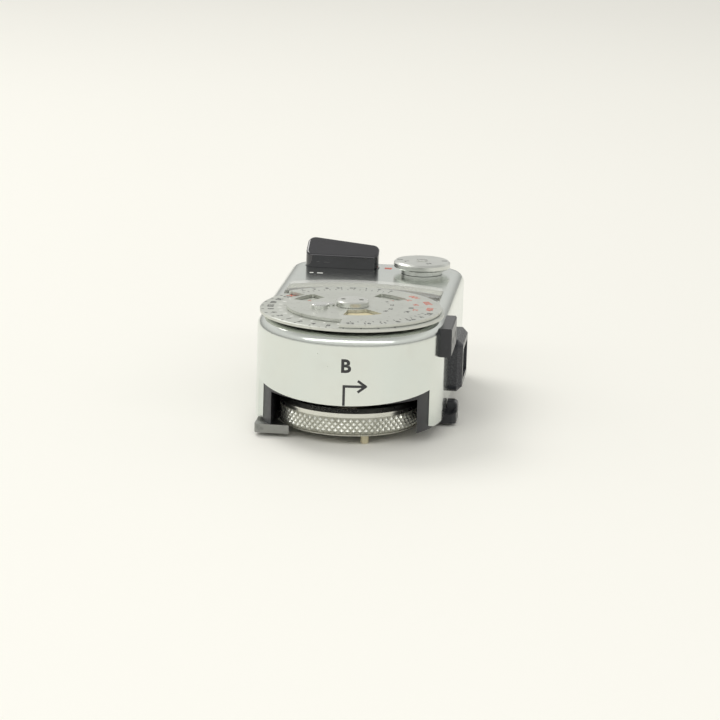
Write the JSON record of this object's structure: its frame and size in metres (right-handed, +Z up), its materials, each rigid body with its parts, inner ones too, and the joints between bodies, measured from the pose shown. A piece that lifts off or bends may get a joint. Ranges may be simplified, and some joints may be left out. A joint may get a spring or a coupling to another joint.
{
  "type": "selenium light meter",
  "caption": "Clip-on selenium light meter with a round exposure dial, knurled coupling wheel with drive pin, needle window, range knob and reading button.",
  "frame": {"origin": "centre of the accessory foot's underside", "axes": "+Z up through the dial, +Y away from the dial end along the case, +X towards the side with the cell window"},
  "size_m": [0.03, 0.054, 0.0216],
  "materials": {
    "chrome": "satin chrome plate",
    "black_casting": "satin black enamel",
    "steel": "bare steel",
    "screw_steel": "turned steel",
    "black_gloss": "polished black plastic",
    "brass": "turned brass",
    "dial_metal": "satin anodised",
    "knurled": "knurled chrome plate",
    "clear": "clear acrylic",
    "scale_card": "printed cream enamel",
    "magnet": "ground magnet alloy",
    "soft_iron": "bright soft iron",
    "copper": "enamelled copper wire",
    "aluminium": "bare aluminium",
    "pointer_black": "blackened",
    "spring_steel": "spring steel",
    "board": "resin bonded paper",
    "ceramic": "lacquered resistor body",
    "jewel": "synthetic ruby",
    "lens": "moulded honeycomb lens",
    "selenium": "selenium layer"
  },
  "bodies": {
    "case": {"top_shell": "chrome", "base_frame": "black_casting", "accessory_foot": "steel", "foot_screws": "screw_steel", "sole_plate": "steel", "sole_screws": "screw_steel", "side_lug": "black_gloss", "lug_pins": "screw_steel", "case_screws": "screw_steel", "lower_bush": "brass", "upper_bush": "brass", "dial_bridge": "steel", "inside_screws": "screw_steel", "window_pane": "clear", "scale_plate": "scale_card", "scale_posts": "aluminium", "movement_base": "brass", "movement_posts": "brass", "yoke_ring": "soft_iron", "core_magnet": "magnet", "core_holder": "aluminium", "clock_bridge": "brass", "jewels": "jewel", "knob_bush": "brass", "resistor_board": "board", "resistors": "ceramic", "button_guide": "brass", "cell_bezel": "black_gloss", "cell_lens": "lens", "cell_contact": "brass", "selenium_cell": "selenium", "cell_holder": "board", "socket_block": "black_gloss", "socket_contacts": "brass", "button_spring": "spring_steel", "lift_spring": "spring_steel"},
    "lift": {"lift_sleeve": "brass"},
    "dial": {"coupling_wheel": "knurled", "coupling_pin": "brass", "spindle": "screw_steel", "wheel_screw": "screw_steel", "speed_ring": "dial_metal", "dial_hub": "chrome"},
    "calculator": {"calculator_disc": "dial_metal", "setting_peg": "chrome", "stop_rivet": "chrome"},
    "range_selector": {"range_knob": "chrome", "knob_screw": "screw_steel", "knob_shaft": "screw_steel", "wiper": "brass"},
    "button": {"reading_button": "black_gloss", "button_stem": "screw_steel", "needle_clamp": "aluminium"},
    "needle": {"coil_winding": "copper", "coil_former": "aluminium", "pivot_staff": "screw_steel", "pointer": "pointer_black", "hairspring": "spring_steel"},
    "zero_adjuster": {"zero_screw": "brass"},
    "zero_carrier": {"zero_arm": "brass"}
  },
  "joints": [
    {"name": "dial_lift", "type": "slide", "parent": "case", "child": "lift", "axis": [0, 0, 1], "range_m": [0, 0.0012], "stiffness_N_per_m": 250, "springref_m": -0.004, "deforming": ["lift_spring"]},
    {"name": "dial_turn", "type": "hinge", "parent": "lift", "child": "dial", "pos_m": [0, -0.029, 0], "axis": [0, 0, 1], "range_deg": [0, 300]},
    {"name": "film_speed_set", "type": "hinge", "parent": "dial", "child": "calculator", "pos_m": [0, -0.029, 0], "axis": [0, 0, 1], "range_deg": [-60, 60]},
    {"name": "range_select", "type": "hinge", "parent": "case", "child": "range_selector", "pos_m": [0.0074, 0.004, 0], "axis": [0, 0, 1], "range_deg": [0, 90]},
    {"name": "button_press", "type": "slide", "parent": "case", "child": "button", "axis": [0, 0, -1], "range_m": [0, 0.0008], "stiffness_N_per_m": 300, "springref_m": -0.004, "deforming": ["button_spring"]},
    {"name": "needle_swing", "type": "hinge", "parent": "case", "child": "needle", "pos_m": [0, -0.0012, 0], "axis": [0, 0, 1], "range_deg": [0, 66], "stiffness_Nm_per_rad": 0.000002},
    {"name": "zero_adjust", "type": "hinge", "parent": "case", "child": "zero_adjuster", "pos_m": [-0.005, -0.0145, 0], "axis": [0, 0, 1], "range_deg": [-45, 45]},
    {"name": "zero_swing", "type": "hinge", "parent": "case", "child": "zero_carrier", "pos_m": [0, -0.0012, 0], "axis": [0, 0, 1], "range_deg": [-2.5, 2.5]}
  ],
  "couplings": [
    {"joint": "zero_swing", "follows": "zero_adjust", "ratio": 0.03399}
  ]
}
